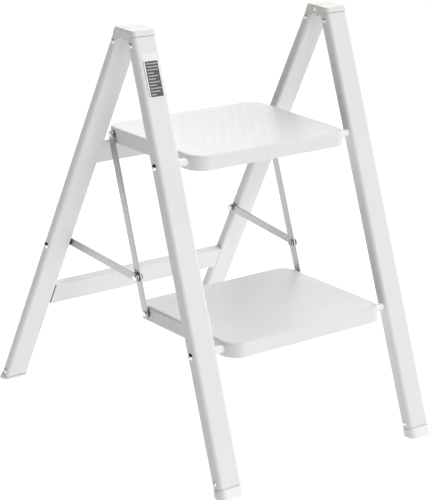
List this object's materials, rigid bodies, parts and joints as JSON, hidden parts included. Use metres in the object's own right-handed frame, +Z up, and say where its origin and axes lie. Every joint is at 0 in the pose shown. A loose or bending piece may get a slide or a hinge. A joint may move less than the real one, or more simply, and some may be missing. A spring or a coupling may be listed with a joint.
{
  "type": "step stool",
  "caption": "Folding metal step stool: tray treads between leaning tube frames hinged at the top, flat side links, plastic caps and feet.",
  "frame": {"origin": "on the floor, under the centre of the open stool's box", "axes": "+X across to the right as seen from the front, +Y towards the back, +Z up; open position"},
  "size_m": [0.4444, 0.5806, 0.6468],
  "materials": {
    "frame_enamel": "satin white powder coat",
    "tread_enamel": "satin white powder coat",
    "cap_plastic": "satin moulded, warm white",
    "foot_plastic": "satin moulded, warm white",
    "chromed_steel": "bright",
    "zinc_steel": "bright zinc plate",
    "link_steel": "satin zinc plate",
    "spacer_plastic": "glossy white",
    "washer_plastic": "matt black",
    "label_film": "printed film without lettering"
  },
  "bodies": {
    "front_frame": {"front_rail_left": "frame_enamel", "front_rail_right": "frame_enamel", "front_cap_left": "cap_plastic", "front_cap_right": "cap_plastic", "front_foot_left": "foot_plastic", "front_foot_right": "foot_plastic", "front_cap_rivets": "chromed_steel", "front_foot_rivets": "chromed_steel", "hinge_pins": "chromed_steel", "step_pivot_bolts": "chromed_steel", "step_pivot_nuts": "zinc_steel", "step_spacers": "spacer_plastic", "rail_label": "label_film"},
    "rear_frame": {"rear_leg_left": "frame_enamel", "rear_leg_right": "frame_enamel", "rear_cap_left": "cap_plastic", "rear_cap_right": "cap_plastic", "rear_foot_left": "foot_plastic", "rear_foot_right": "foot_plastic", "rear_cap_rivets": "chromed_steel", "rear_foot_rivets": "chromed_steel", "upper_cross_bar": "frame_enamel", "lower_cross_bar": "frame_enamel", "leg_bolts": "chromed_steel", "leg_nuts": "zinc_steel", "leg_washers": "washer_plastic"},
    "upper_step": {"upper_step": "tread_enamel", "upper_link_rivets": "chromed_steel", "upper_link_washers": "washer_plastic"},
    "lower_step": {"lower_step": "tread_enamel", "lower_link_rivets": "chromed_steel", "lower_link_washers": "washer_plastic"},
    "side_link_left": {"side_link_left": "link_steel", "middle_nut_left": "zinc_steel"},
    "side_link_right": {"side_link_right": "link_steel", "middle_nut_right": "zinc_steel"},
    "diagonal_link_left": {"diagonal_link_left": "link_steel", "middle_washer_left": "washer_plastic", "middle_bolt_left": "chromed_steel"},
    "diagonal_link_right": {"diagonal_link_right": "link_steel", "middle_washer_right": "washer_plastic", "middle_bolt_right": "chromed_steel"}
  },
  "joints": [
    {"name": "rear_fold", "type": "hinge", "parent": "front_frame", "child": "rear_frame", "pos_m": [0, -0.00729, 0.64], "axis": [-1, 0, 0], "range_deg": [0, 44.7]},
    {"name": "upper_step_pivot", "type": "hinge", "parent": "front_frame", "child": "upper_step", "pos_m": [0, -0.09554, 0.45838], "axis": [1, 0, 0], "range_deg": [0, 64.1]},
    {"name": "lower_step_pivot", "type": "hinge", "parent": "front_frame", "child": "lower_step", "pos_m": [0, -0.19891, 0.1973], "axis": [1, 0, 0], "range_deg": [0, 64.1]},
    {"name": "side_link_left_pivot", "type": "hinge", "parent": "upper_step", "child": "side_link_left", "pos_m": [0, 0.08276, 0.45838], "axis": [-1, 0, 0], "range_deg": [0, 64.1]},
    {"name": "diagonal_link_left_pivot", "type": "hinge", "parent": "rear_frame", "child": "diagonal_link_left", "pos_m": [0, 0.16635, 0.26553], "axis": [-1, 0, 0], "range_deg": [0, 66.93]},
    {"name": "side_link_right_pivot", "type": "hinge", "parent": "upper_step", "child": "side_link_right", "pos_m": [0, 0.08276, 0.45838], "axis": [-1, 0, 0], "range_deg": [0, 64.1]},
    {"name": "diagonal_link_right_pivot", "type": "hinge", "parent": "rear_frame", "child": "diagonal_link_right", "pos_m": [0, 0.16635, 0.26553], "axis": [-1, 0, 0], "range_deg": [0, 66.93]}
  ],
  "couplings": [
    {"joint": "upper_step_pivot", "follows": "rear_fold", "ratio": 1.434},
    {"joint": "lower_step_pivot", "follows": "rear_fold", "ratio": 1.434},
    {"joint": "side_link_left_pivot", "follows": "rear_fold", "ratio": 1.434},
    {"joint": "diagonal_link_left_pivot", "follows": "rear_fold", "ratio": 1.4972},
    {"joint": "side_link_right_pivot", "follows": "rear_fold", "ratio": 1.434},
    {"joint": "diagonal_link_right_pivot", "follows": "rear_fold", "ratio": 1.4972}
  ]
}
